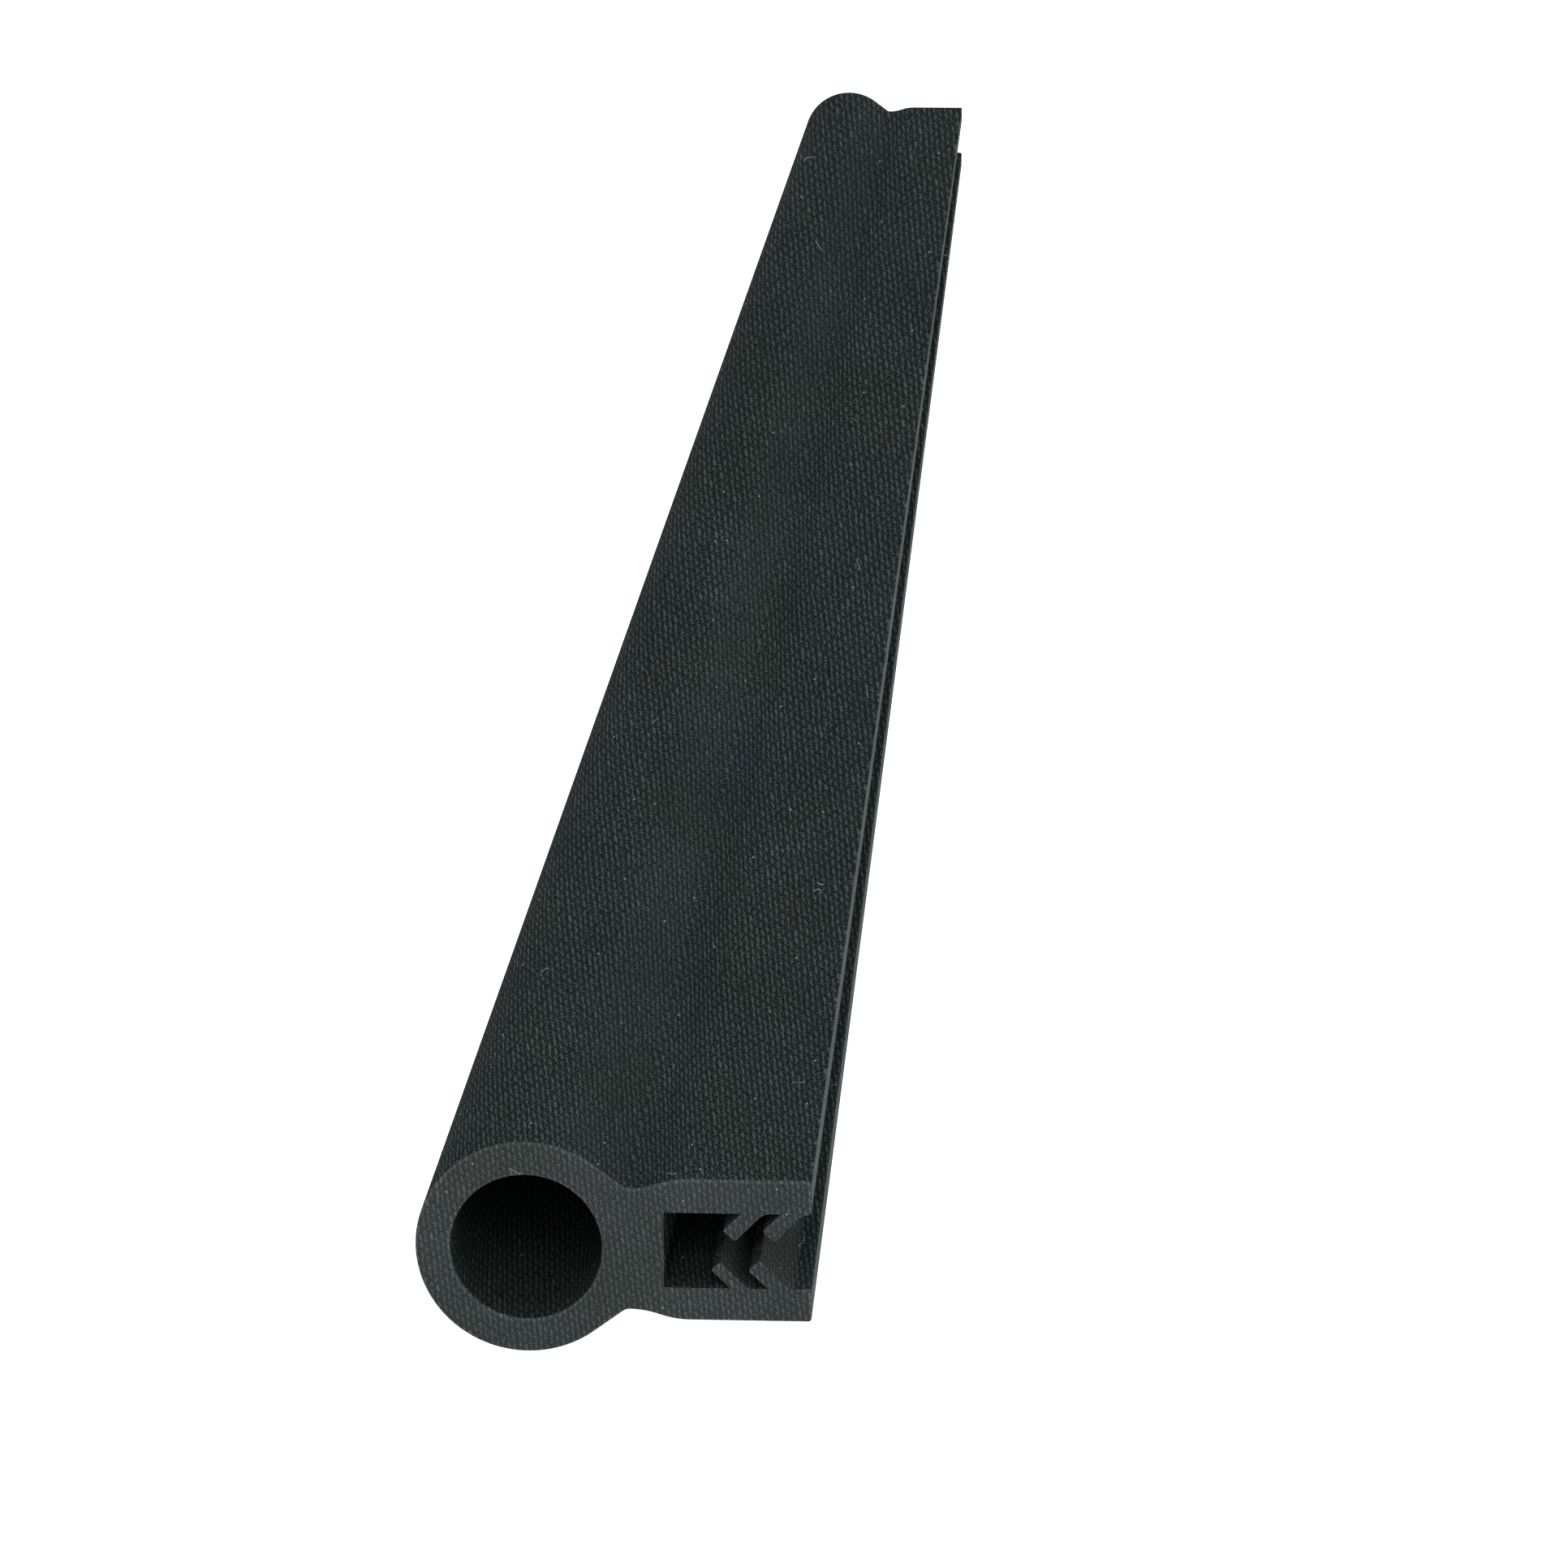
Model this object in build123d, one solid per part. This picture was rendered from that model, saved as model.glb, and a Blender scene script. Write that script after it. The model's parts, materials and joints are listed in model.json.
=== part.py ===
from build123d import *

import os
from math import acos, atan2, cos, hypot, radians, sin

# Push-on bulb edge seal: a straight length of co-extruded rubber section.
# X runs across the section, from the bulb (-X) to the open mouth of the channel (+X).
# Y runs along the length and Z is up, square to the panel that the channel grips.
# The origin is the centre of the bounding box, on the section's mid-plane. Sizes are in millimetres.

# Overall
LENGTH = 500.0
WIDTH = 25.0

# Hollow bulb
BULB_DIAMETER = 14.0
WALL = 2.2  # of the bulb, the back wall and both legs

# Channel
CHANNEL_HEIGHT = 9.4
SLOT_DEPTH = 9.3
NECK_HEIGHT = 8.1
VALLEY_RADIUS = 0.7  # between the neck and the bulb's flank
SHOULDER_LENGTH = 3.8  # over which the neck's height swells to the channel's

# Grip fins: their closed-end faces start this far in from the mouth
FIN_ROOTS = {
    "upper_outer_fin": 1.9,
    "upper_inner_fin": 4.4,
    "lower_outer_fin": 2.8,
    "lower_inner_fin": 5.15,
}
FIN_FACE = 1.65  # length of the face that looks to the closed end
FIN_THICKNESS = 1.0
LOWER_INNER_FIN_THICKNESS = 0.8
FIN_ANGLE = 45.0  # from the leg, towards the closed end
BEAD_RADIUS = 0.4  # round root that the fin turns on
BEAD_CLEARANCE = 0.05  # between the bead and its groove
HEEL_CLEARANCE = 0.03  # between the heel and the leg

# Steel ribs inside the channel
RIB_WIDTH = 4.0
RIB_PITCH = 6.25
RIB_THICKNESS = 0.5
RIB_OUTER_COVER = 0.75  # rubber over the outside of each rib's legs
RIB_SLOT_COVER = 0.5  # rubber between a rib's back and the slot
RIB_END_COVER = 0.8  # rubber past the ends of a rib's legs
RIB_BEND_RADIUS = 1.0

# Fibreglass cord behind the ribs, which keeps the length from stretching
CORD_DIAMETER = 0.6
CORD_DEPTH = 0.55  # its axis behind the joint of bulb and channel
CORD_END_COVER = 1.0

# Places worked out from those sizes
MOUTH_X = WIDTH / 2
SLOT_BACK_X = MOUTH_X - SLOT_DEPTH
NECK_X = SLOT_BACK_X - WALL  # the bulb is bonded to the channel in this plane
BULB_RADIUS = BULB_DIAMETER / 2
BORE_RADIUS = BULB_RADIUS - WALL
BULB_X = BULB_RADIUS - WIDTH / 2
LEG_Z = CHANNEL_HEIGHT / 2
SLOT_Z = LEG_Z - WALL
NECK_Z = NECK_HEIGHT / 2


def along_length(profile, length=LENGTH):
    """A section drawn on the XZ plane, made solid along Y with its middle at the origin."""
    return extrude(profile, amount=length / 2, both=True)


def section(outline):
    """A face on the XZ plane from an outline of lines and arcs in (x, z)."""
    return Plane.XZ * make_face(outline)


def mirrored(edges):
    """The edges and their mirror images below the mid-plane."""
    return edges + [edge.mirror(Plane.XZ) for edge in edges]


def bulb_section():
    """Ring whose outside runs down a straight flank to the valley at the neck."""
    across = NECK_X - BULB_X
    valley_z = NECK_Z + VALLEY_RADIUS
    # The flank is tangent to the ring's outside and to the valley, whose arc leaves the neck level.
    lean = atan2(valley_z, across) + acos((BULB_RADIUS + VALLEY_RADIUS) / hypot(across, valley_z))
    foot = (BULB_X + BULB_RADIUS * cos(lean), BULB_RADIUS * sin(lean))
    valley_end = (NECK_X - VALLEY_RADIUS * cos(lean), valley_z - VALLEY_RADIUS * sin(lean))
    back = (BULB_X - BULB_RADIUS, 0)
    outside = TangentArc(back, foot, tangent=(0, 1))
    flank = Line(foot, valley_end)
    valley = TangentArc((NECK_X, NECK_Z), valley_end, tangent=(-1, 0))
    edges = mirrored([*outside.edges(), *flank.edges(), *valley.edges()])
    edges += Line((NECK_X, NECK_Z), (NECK_X, -NECK_Z)).edges()
    return section(edges)


def make_bulb():
    bore = Plane.XZ * Pos(BULB_X, 0) * Circle(BORE_RADIUS)
    return along_length(bulb_section() - bore)


def channel_section():
    """The U of back wall and legs, with shoulders that swell from the neck to the legs."""
    neck = (NECK_X, NECK_Z)
    shoulder_end = (NECK_X + SHOULDER_LENGTH, LEG_Z)
    middle = (NECK_X + SHOULDER_LENGTH / 2, (NECK_Z + LEG_Z) / 2)
    hollow = TangentArc(neck, middle, tangent=(1, 0))
    swell = TangentArc(shoulder_end, middle, tangent=(-1, 0))
    leg = Polyline(
        shoulder_end,
        (MOUTH_X, LEG_Z),
        (MOUTH_X, SLOT_Z),
        (SLOT_BACK_X, SLOT_Z),
    )
    edges = mirrored([*hollow.edges(), *swell.edges(), *leg.edges()])
    edges += Line(neck, (NECK_X, -NECK_Z)).edges()
    edges += Line((SLOT_BACK_X, SLOT_Z), (SLOT_BACK_X, -SLOT_Z)).edges()
    return section(edges)


def fin_root(name):
    """Hinge line of a fin in the section: on the leg's inner face, at the fin's closed-end side."""
    side = 1 if name.startswith("upper") else -1
    return MOUTH_X - FIN_ROOTS[name], side * SLOT_Z, side


def make_fin(name):
    """Slanting blade with a round bead at its root and a heel rounded about the hinge line."""
    x, z, side = fin_root(name)
    thickness = LOWER_INNER_FIN_THICKNESS if name == "lower_inner_fin" else FIN_THICKNESS
    slope = radians(FIN_ANGLE)
    # Directions for an upper fin: down the blade, and square to it towards the mouth
    down = Vector(-cos(slope), -sin(slope))
    out = Vector(sin(slope), -cos(slope))
    blade = Polyline(
        (0, 0),
        tuple(down * FIN_FACE)[:2],
        tuple(down * FIN_FACE + out * thickness)[:2],
        tuple(out * thickness)[:2],
        close=True,
    )
    heel = Circle(thickness) & (Pos(thickness, -thickness) * Rectangle(2 * thickness, 2 * thickness))
    heel &= Pos(0, -HEEL_CLEARANCE - thickness) * Rectangle(4 * thickness, 2 * thickness)
    profile = make_face(blade) + heel + Circle(BEAD_RADIUS)
    if side < 0:
        profile = profile.mirror(Plane.XZ)
    return along_length(Plane.XZ * Pos(x, z) * profile)


def fin_grooves():
    """Round grooves in the legs that hold the fins' beads."""
    groove = Circle(BEAD_RADIUS + BEAD_CLEARANCE)
    places = [fin_root(name) for name in FIN_ROOTS]
    return [along_length(Plane.XZ * Pos(x, z) * groove) for x, z, _ in places]


def make_ribs():
    """Row of separate U-shaped spring-steel ribs, open towards the mouth."""
    outer_z = LEG_Z - RIB_OUTER_COVER
    back_x = SLOT_BACK_X - RIB_SLOT_COVER
    tip_x = MOUTH_X - RIB_END_COVER
    centre_line = FilletPolyline(
        (tip_x, outer_z - RIB_THICKNESS / 2),
        (back_x - RIB_THICKNESS / 2, outer_z - RIB_THICKNESS / 2),
        (back_x - RIB_THICKNESS / 2, RIB_THICKNESS / 2 - outer_z),
        (tip_x, RIB_THICKNESS / 2 - outer_z),
        radius=RIB_BEND_RADIUS + RIB_THICKNESS / 2,
    )
    strip = trace(centre_line, line_width=RIB_THICKNESS)
    strip_ends = Pos(tip_x, 0) * Rectangle(RIB_THICKNESS * 2, CHANNEL_HEIGHT, align=(Align.MIN, Align.CENTER))
    rib = along_length(Plane.XZ * (strip - strip_ends), RIB_WIDTH)
    count = int(LENGTH // RIB_PITCH)
    first = -RIB_PITCH * (count - 1) / 2
    return [Pos(0, first + RIB_PITCH * i, 0) * rib for i in range(count)]


def make_cord():
    profile = Plane.XZ * Pos(NECK_X + CORD_DEPTH, 0) * Circle(CORD_DIAMETER / 2)
    return along_length(profile, LENGTH - 2 * CORD_END_COVER)


def make_channel(ribs, cord):
    """Dense rubber round the slot, with grooves for the fins and sealed pockets for steel and cord.

    It is one extrusion, given as its back wall and two legs, which meet in the plane of the slot's back.
    """
    whole = along_length(channel_section()) - fin_grooves() - ribs - cord
    slot_back = Pos(SLOT_BACK_X, 0, 0)
    behind = Box(WIDTH, LENGTH, CHANNEL_HEIGHT, align=(Align.MAX, Align.CENTER, Align.CENTER))
    above = Box(WIDTH, LENGTH, CHANNEL_HEIGHT, align=(Align.MIN, Align.CENTER, Align.MIN))
    below = above.mirror(Plane.XY)
    return {
        "channel_back": whole & slot_back * behind,
        "upper_leg": whole & slot_back * above,
        "lower_leg": whole & slot_back * below,
    }


ribs = make_ribs()
cord = make_cord()
nodes = {"bulb": make_bulb(), "steel_ribs": Compound(children=ribs), "fibreglass_cord": cord}
nodes.update(make_channel(ribs, cord))
nodes.update({name: make_fin(name) for name in FIN_ROOTS})

os.makedirs("parts", exist_ok=True)
for name, shape in nodes.items():
    shape.label = name
    export_step(shape, f"parts/{name}.step")
    print(name, round(shape.volume, 2))
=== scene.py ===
import json
from math import acos, atan2, cos, hypot, pi, radians, sin, sqrt

import bmesh
import bpy
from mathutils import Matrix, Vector


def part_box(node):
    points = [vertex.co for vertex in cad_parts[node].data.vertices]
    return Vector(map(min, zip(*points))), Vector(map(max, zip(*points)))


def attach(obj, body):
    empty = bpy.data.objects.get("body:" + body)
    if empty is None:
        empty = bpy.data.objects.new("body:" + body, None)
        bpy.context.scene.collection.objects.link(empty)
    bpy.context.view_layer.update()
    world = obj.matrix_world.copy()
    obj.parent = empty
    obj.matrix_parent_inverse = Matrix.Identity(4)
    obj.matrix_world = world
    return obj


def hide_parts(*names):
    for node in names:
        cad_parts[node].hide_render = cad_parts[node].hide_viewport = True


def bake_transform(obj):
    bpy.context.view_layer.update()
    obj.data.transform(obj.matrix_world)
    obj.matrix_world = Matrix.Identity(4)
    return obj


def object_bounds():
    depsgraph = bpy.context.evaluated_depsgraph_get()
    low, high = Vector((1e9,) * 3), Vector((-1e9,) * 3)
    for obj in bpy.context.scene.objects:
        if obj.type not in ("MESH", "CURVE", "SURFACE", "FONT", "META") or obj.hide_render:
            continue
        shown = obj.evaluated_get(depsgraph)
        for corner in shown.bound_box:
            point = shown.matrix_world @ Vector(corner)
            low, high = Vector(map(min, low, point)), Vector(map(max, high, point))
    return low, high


bl_info = {
    "name": "Bulb edge seal",
    "version": (1, 0, 0),
    "blender": (4, 5, 0),
    "location": "3D View > Sidebar > Edge Seal",
    "description": "Models a length of push-on rubber edge seal: hollow bulb, channel and grip fins",
    "category": "Add Mesh",
}

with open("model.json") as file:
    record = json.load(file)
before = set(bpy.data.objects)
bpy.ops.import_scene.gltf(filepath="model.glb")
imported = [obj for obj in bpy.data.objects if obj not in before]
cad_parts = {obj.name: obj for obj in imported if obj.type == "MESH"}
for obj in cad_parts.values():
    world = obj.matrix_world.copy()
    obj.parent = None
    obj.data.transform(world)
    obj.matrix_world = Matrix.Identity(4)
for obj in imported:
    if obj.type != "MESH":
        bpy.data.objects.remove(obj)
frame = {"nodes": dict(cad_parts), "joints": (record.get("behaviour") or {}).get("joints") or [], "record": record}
cad_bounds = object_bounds()

MM = 0.001

# Places that come from the frame, in metres. X runs from the bulb to the channel's mouth, and Y along
# the length.
NEAR_Y, FAR_Y = cad_bounds[0].y, cad_bounds[1].y
LENGTH = FAR_Y - NEAR_Y
BORE = next(mount for mount in frame["record"]["mounts"] if mount["kind"] == "bore")
BULB_X, BORE_RADIUS = BORE["pos_m"][0], BORE["dims"]["r_mm"] * MM
LEG_LOW, LEG_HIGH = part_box("upper_leg")
SLOT_BACK_X, MOUTH_X = LEG_LOW.x, LEG_HIGH.x
SLOT_Z, LEG_Z = LEG_LOW.z, LEG_HIGH.z
BULB_RADIUS = MOUTH_X + BULB_X  # the origin lies half way between the bulb's back and the mouth
NECK_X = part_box("bulb")[1].x
ROOTS = {joint["child"]: Vector(joint["pos_m"]) for joint in frame["joints"]}
LIP_X = max(root.x for root in ROOTS.values())  # the closed side of the fins nearest the mouth
ON_PLACE = 1e-6  # how near a point is to a plane that it is said to lie in

CURVE_STEPS = 6  # facets in each of the small arcs beside the neck
FILLET_STEPS = 4  # facets in the fillet at a fin's root
BEND_STEPS = 7  # bands of faces over which a fin's root bends
EDGE_STEPS = 2  # facets across a rounded or worn edge
SMOOTH_ANGLE = radians(20)  # facets that meet at less than this are shaded as one surface


class SealSizes(bpy.types.PropertyGroup):
    neck_height: bpy.props.FloatProperty(
        name="Neck height", description="Height of the neck between bulb and channel",
        default=8.1 * MM, unit="LENGTH",
    )
    valley_radius: bpy.props.FloatProperty(
        name="Valley radius", description="Radius of the hollow between the neck and the bulb's flank",
        default=0.7 * MM, unit="LENGTH",
    )
    shoulder_length: bpy.props.FloatProperty(
        name="Shoulder length", description="Length over which the neck swells to the channel's height",
        default=3.8 * MM, unit="LENGTH",
    )
    fin_face: bpy.props.FloatProperty(
        name="Fin face", description="Length of each fin's face on the closed-end side",
        default=1.65 * MM, unit="LENGTH",
    )
    fin_thickness: bpy.props.FloatProperty(
        name="Fin thickness", description="Thickness of three of the fins",
        default=1.0 * MM, unit="LENGTH",
    )
    thin_fin: bpy.props.FloatProperty(
        name="Thin fin", description="Thickness of the lower inner fin",
        default=0.8 * MM, unit="LENGTH",
    )
    root_fillet: bpy.props.FloatProperty(
        name="Root fillet", description="How far each fin's root spreads towards the mouth",
        default=0.35 * MM, unit="LENGTH",
    )
    bend_depth: bpy.props.FloatProperty(
        name="Bend depth", description="Depth below the leg's face over which a fin's root bends",
        default=0.6 * MM, unit="LENGTH",
    )
    cut_edge: bpy.props.FloatProperty(
        name="Cut edge", description="Width of the worn edge round both cut ends of bulb and channel",
        default=0.17 * MM, unit="LENGTH",
    )
    fin_edge: bpy.props.FloatProperty(
        name="Fin edge", description="Width of the worn edges of the fins' tips and cut ends",
        default=0.1 * MM, unit="LENGTH",
    )
    mouth_edge: bpy.props.FloatProperty(
        name="Mouth edge", description="Rounding of the long edges at the channel's mouth",
        default=0.18 * MM, unit="LENGTH",
    )
    round_steps: bpy.props.IntProperty(
        name="Round steps", description="Number of facets in half a turn of the bulb",
        default=60, min=12,
    )
    stations: bpy.props.IntProperty(
        name="Stations", description="Number of steps in which a section is pulled along the length",
        default=50, min=1,
    )


class SealColours(bpy.types.PropertyGroup):
    skin_low: bpy.props.StringProperty(
        name="Skin, pressed", description="Outer skin between the cloth's marks, sRGB", default="191e1d"
    )
    skin_high: bpy.props.StringProperty(
        name="Skin, raised", description="Outer skin on the cloth's marks, sRGB", default="495353"
    )
    # The inside colours, darker than the outer skin's, are painted shade for the bore and the slot.
    inner_shade_low: bpy.props.StringProperty(
        name="Inside, pressed", description="Skin of bore and slot between the marks, sRGB", default="181e1c"
    )
    inner_shade_high: bpy.props.StringProperty(
        name="Inside, raised", description="Skin of bore and slot on the marks, sRGB", default="404945"
    )
    # The fins' colours are paler than the inside skin's: painted light that lifts the fins out of the slot's
    # shade.
    fin_low: bpy.props.StringProperty(
        name="Fin, pressed", description="Skin of the fins between the marks, sRGB", default="292d2c"
    )
    fin_high: bpy.props.StringProperty(
        name="Fin, raised", description="Skin of the fins on the marks, sRGB", default="4c514e"
    )
    # The cut ends' colours are paler than the skin's: partly a fresh cut's own colour, partly painted light of an
    # end lit from the front.
    cut_low: bpy.props.StringProperty(
        name="Cut, pressed", description="Cut ends between the marks, sRGB", default="2c3030"
    )
    cut_high: bpy.props.StringProperty(
        name="Cut, raised", description="Cut ends on the marks, sRGB", default="4d5352"
    )
    # The cut edges' colours are paler than the cut ends': a painted highlight along the rounded edges.
    edge_highlight_low: bpy.props.StringProperty(
        name="Edge highlight, pressed", description="Edges of the cut ends between the marks, sRGB", default="343938"
    )
    edge_highlight_high: bpy.props.StringProperty(
        name="Edge highlight, raised", description="Edges of the cut ends on the marks, sRGB", default="59605e"
    )
    # The legs' end colours are much paler than the skin's: painted light on the faces at the mouth.
    leg_end_light_low: bpy.props.StringProperty(
        name="Leg end light, pressed", description="Ends of the legs between the marks, sRGB", default="4c5251"
    )
    leg_end_light_high: bpy.props.StringProperty(
        name="Leg end light, raised", description="Ends of the legs on the marks, sRGB", default="767c79"
    )
    dust: bpy.props.StringProperty(
        name="Dust", description="Talc specks and lint, sRGB", default="8b918f"
    )
    steel: bpy.props.StringProperty(
        name="Steel", description="Phosphated spring steel, sRGB", default="6f7375"
    )
    latex: bpy.props.StringProperty(
        name="Latex", description="Black latex dip of the glass cord, sRGB", default="1b1b1c"
    )
    floor: bpy.props.StringProperty(
        name="Floor", description="Studio floor, sRGB", default="f2f2f2"
    )


class SealStage(bpy.types.PropertyGroup):
    camera_place: bpy.props.FloatVectorProperty(
        name="Camera place", description="Where the camera stands",
        default=(0.026604, -0.542737, 0.111202), unit="LENGTH", precision=4,
    )
    camera_turn: bpy.props.FloatVectorProperty(
        name="Camera turn", description="Turns of the camera about X, Y and Z",
        default=(radians(74.6034), radians(0.1078), radians(3.0547)), subtype="EULER",
    )
    camera_lens: bpy.props.FloatProperty(
        name="Lens", description="Focal length on a 36 mm sensor, in millimetres", default=114.22,
    )
    world_light: bpy.props.FloatProperty(
        name="Dome light", description="Strength of the even light from all round", default=0.75,
    )
    floor_glow: bpy.props.FloatProperty(
        name="Floor glow", description="Light that the floor adds to what the camera sees of it",
        default=1.0,
    )
    front_light: bpy.props.FloatProperty(
        name="Front light", description="Share of full light from the front lamp",
        default=0.35,
    )
    front_place: bpy.props.FloatVectorProperty(
        name="Front lamp", description="Where the front lamp stands",
        default=(0.05, -1.2, 0.5), unit="LENGTH",
    )
    side_light: bpy.props.FloatProperty(
        name="Side light", description="Share of full light from the lamp at the mouth's side",
        default=0.22,
    )
    side_place: bpy.props.FloatVectorProperty(
        name="Side lamp", description="Where the side lamp stands",
        default=(0.7, -0.25, 0.15), unit="LENGTH",
    )
    lamp_size: bpy.props.FloatProperty(
        name="Lamp size", description="Side of each square lamp", default=0.6, unit="LENGTH",
    )


def linear(hex_colour):
    """An sRGB hex colour as linear RGBA."""
    shares = [int(hex_colour[i : i + 2], 16) / 255 for i in (0, 2, 4)]
    return (*[s / 12.92 if s <= 0.04045 else ((s + 0.055) / 1.055) ** 2.4 for s in shares], 1.0)


# ---------------------------------------------------------------- drawing and shaping

# The inside finish carries painted shade, the cut finish partly painted light, the edge finish a painted highlight
# and the legs' end finish painted light.
OUTER, INNER, CUT, EDGE_HIGHLIGHT, LIT_LEG_END = range(5)  # a piece's finishes
# A face of a cut end looks along the seal, a face of a rounded cut edge partly so, and every other face doesn't.
# The rounded edges carry a painted highlight.
CUT_TILT, EDGE_HIGHLIGHT_TILT = 0.99, 0.2
# Painted light reaches this far round the legs' ends, which face the mouth's side, and spares what looks upwards.
LIT_LEG_END_X, LIT_LEG_END_TILT = MOUTH_X - 0.05 * MM, 0.1


class Pen:
    """Draws a section's outline in edit mode, point after point, in the plane of the near cut end."""

    def __init__(self, name, x, z):
        bpy.ops.object.select_all(action="DESELECT")
        bpy.ops.mesh.primitive_plane_add(size=MM, location=(x, NEAR_Y, z))
        self.piece = bpy.context.object
        self.piece.name = self.piece.data.name = name
        bpy.ops.object.transform_apply(location=True, rotation=False, scale=False)
        bpy.ops.object.mode_set(mode="EDIT")
        bpy.ops.mesh.select_mode(type="VERT")
        bpy.ops.mesh.select_all(action="SELECT")
        bpy.ops.mesh.merge(type="CENTER")

    def tip(self):
        """The point drawn last, which is the only one selected."""
        return next(v.co for v in bmesh.from_edit_mesh(self.piece.data).verts if v.select)

    def line(self, x, z):
        """A straight line to (x, z)."""
        step = Vector((x, NEAR_Y, z)) - self.tip()
        bpy.ops.mesh.extrude_vertices_move(TRANSFORM_OT_translate={"value": step})

    def arc(self, x, z, turn, steps):
        """An arc about (x, z) through an angle, anticlockwise when X points right and Z up."""
        bpy.ops.mesh.spin(steps=steps, angle=turn, center=(x, NEAR_Y, z), axis=(0, 1, 0))

    def fill(self):
        """Closes the outline with a face and gives the piece that it belongs to."""
        bpy.ops.mesh.select_all(action="SELECT")
        bpy.ops.mesh.remove_doubles(threshold=ON_PLACE)
        bpy.ops.mesh.edge_face_add()
        return self.piece


def round_corners(piece, places, size):
    """Rounds a drawn outline's corners at those places in (x, z), which become edges along the seal."""
    bpy.ops.mesh.select_all(action="DESELECT")
    mesh = bmesh.from_edit_mesh(piece.data)
    for v in mesh.verts:
        v.select = any(hypot(v.co.x - x, v.co.z - z) < ON_PLACE for x, z in places)
    bmesh.update_edit_mesh(piece.data)
    bpy.ops.mesh.bevel(offset=size, segments=EDGE_STEPS, affect="VERTICES")


def pull(stations):
    """Pulls the filled outline along the seal's whole length and makes its faces point outwards."""
    bpy.ops.mesh.select_all(action="SELECT")
    for _ in range(stations):
        bpy.ops.mesh.extrude_region_move(TRANSFORM_OT_translate={"value": (0, LENGTH / stations, 0)})
    bpy.ops.mesh.select_all(action="SELECT")
    bpy.ops.mesh.normals_make_consistent(inside=False)


def wear_cut_edges(piece, width, bonded):
    """Bevels the edges round both cut ends, apart from those whose two ends are both bonded points."""
    bpy.ops.mesh.select_mode(type="EDGE")
    bpy.ops.mesh.select_all(action="DESELECT")
    mesh = bmesh.from_edit_mesh(piece.data)
    for edge in mesh.edges:
        on_cut = [abs(face.normal.y) > CUT_TILT for face in edge.link_faces]
        edge.select_set(on_cut.count(True) == 1 and not all(bonded(v.co) for v in edge.verts))
    bmesh.update_edit_mesh(piece.data)
    bpy.ops.mesh.bevel(offset=width, segments=EDGE_STEPS, affect="EDGES")
    # Where a bevel ends on a sharp edge it leaves points on top of each other, which become one.
    bpy.ops.mesh.select_all(action="SELECT")
    bpy.ops.mesh.remove_doubles(threshold=ON_PLACE)


def finish_of(face, inside):
    """Which finish a face has: the cut ends' edges carry a painted highlight, and the legs' ends painted light."""
    along = abs(face.normal.y)
    if along > EDGE_HIGHLIGHT_TILT:
        return CUT if along > CUT_TILT else EDGE_HIGHLIGHT
    if face.center.x > LIT_LEG_END_X and face.normal.z < LIT_LEG_END_TILT:
        return LIT_LEG_END
    # Faces in the bore and the slot take the inside finish, which carries painted shade.
    return INNER if inside(face.center) else OUTER


def finish_piece(piece, girth, inside, inner):
    """Gives the piece its finishes, smooth shading and, at each point, its place round the section."""
    bpy.ops.object.mode_set(mode="OBJECT")
    for rubber in (outer_rubber, inner, cut_rubber, edge_highlight_rubber, lit_leg_end_rubber):
        piece.data.materials.append(rubber(bpy.context.scene.seal_colours))
    for face in piece.data.polygons:
        face.material_index = finish_of(face, inside)
    layer = piece.data.attributes.new("girth", "FLOAT", "POINT")
    layer.data.foreach_set("value", [girth(v.co) for v in piece.data.vertices])
    bpy.ops.object.shade_smooth_by_angle(angle=SMOOTH_ANGLE)


# ---------------------------------------------------------------- materials


def node(tree, kind, inputs=None, **settings):
    """Adds a node. Settings are its properties; inputs are its sockets' values or what feeds them."""
    made = tree.nodes.new("ShaderNode" + kind)
    for name, value in settings.items():
        setattr(made, name, value)
    for socket, value in (inputs or {}).items():
        if isinstance(value, bpy.types.NodeSocket):
            tree.links.new(value, made.inputs[socket])
        else:
            made.inputs[socket].default_value = value
    return made


def new_material(name):
    """A material with an empty node tree and its output node."""
    material = bpy.data.materials.new(name)
    material.use_nodes = True
    material.node_tree.nodes.clear()
    return material, material.node_tree, node(material.node_tree, "OutputMaterial")


MIX_A, MIX_B, MIX_RESULT = 6, 7, 2  # a colour Mix node's sockets

# Marks that the weave of the cotton wrapping leaves. At the near end its threads lie this far apart and
# each mark is this long. Along the seal the pitch grows evenly to GROWTH times that, so that the columns of
# marks fan out from a line beside the mouth, where the place round the section would be FAN_PLACE.
THREAD_PITCH, MARK_LENGTH = 0.345 * MM, 1.38 * MM
GROWTH = 2.56
FAN_PLACE = 31.3 * MM
CUT_MARK_LENGTH = 0.53 * MM  # marks on the cut ends, which don't grow
MARK_SHIFT = 0.46  # each column of marks is set this share of a mark on from the next column
MARK_LEAN = 0.15  # each row of marks is set this share of a column on from the next row
MARK_SQUEEZE = (1.8, 1.05, 0)  # a mark fills less of its column's width than of its row's height
MIDDLE_HEIGHT = 0.4  # height between ground and marks that a smoother skin comes nearer to

# The bulb's flanks beside the neck are marked less deeply than the rest, and so is the stretched far end.
# Shallower marks come nearer to the middle height, which also lightens the flanks beside the neck a little as
# painted light.
FLANK_X, FLANK_REACH, PAST_FLANK = NECK_X - 1.8 * MM, 1.2 * MM, 3.8 * MM
FLANK_DEPTH, FAR_DEPTH = 0.7, 0.85


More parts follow.
